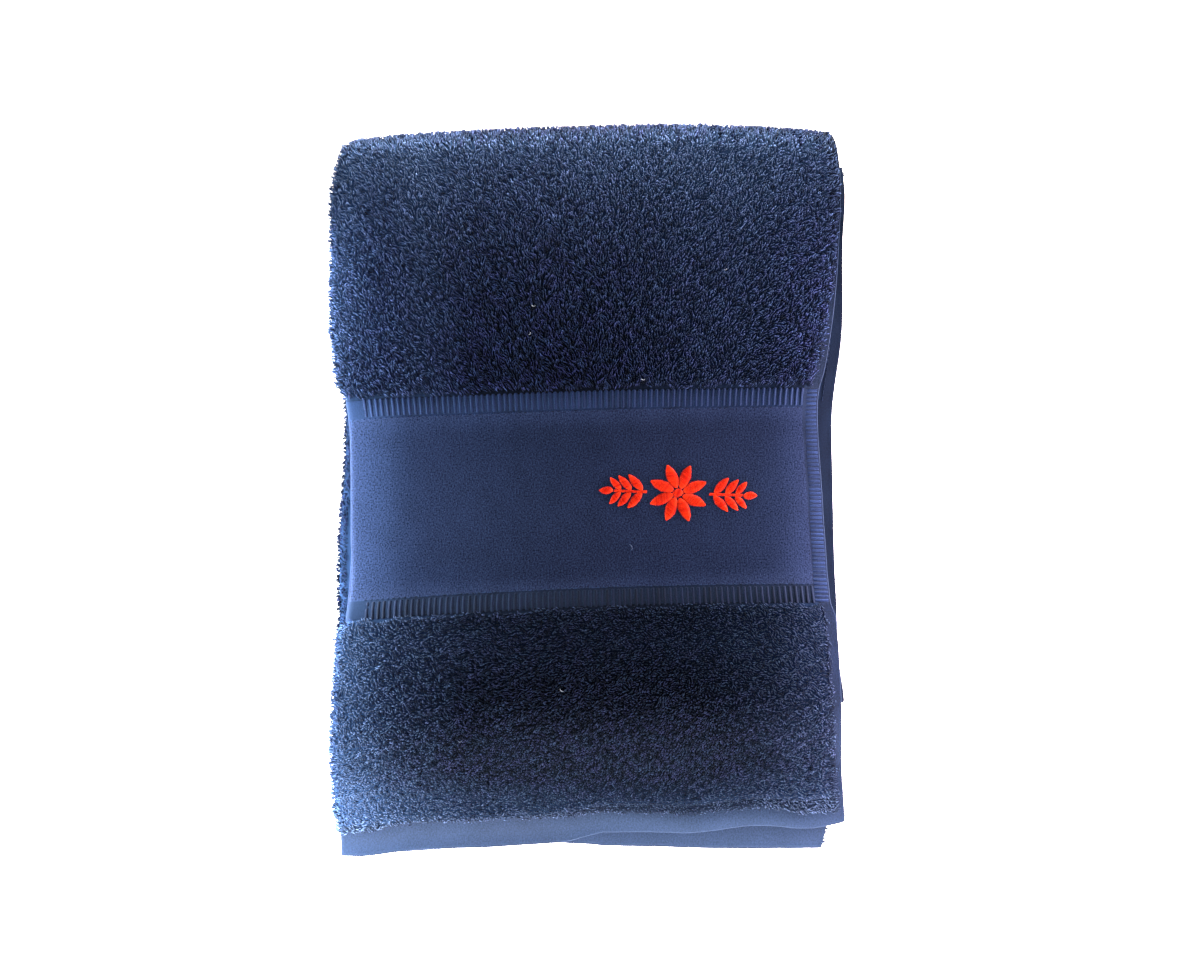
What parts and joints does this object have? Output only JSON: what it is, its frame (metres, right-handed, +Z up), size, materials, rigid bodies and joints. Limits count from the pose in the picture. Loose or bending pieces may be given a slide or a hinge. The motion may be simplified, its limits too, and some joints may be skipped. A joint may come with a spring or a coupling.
{
  "type": "folded hand towel",
  "caption": "Terry hand towel lying folded in half and then in three, with a smooth woven band across its front and plain hems at its ends.",
  "frame": {"origin": "middle of the folded towel's footprint, on the surface it lies on", "axes": "+X to the right, from the lengthwise fold to the selvedges; +Y from the front flap's hem to the upper fold; +Z up"},
  "size_m": [0.2562, 0.3609, 0.0279],
  "materials": {
    "terry_cotton": "navy cotton with loop pile on both faces, flat woven bands and hems",
    "embroidery_thread": "orange-red rayon thread in satin stitch"
  },
  "bodies": {
    "root": {"towel": "terry_cotton"}
  },
  "joints": []
}
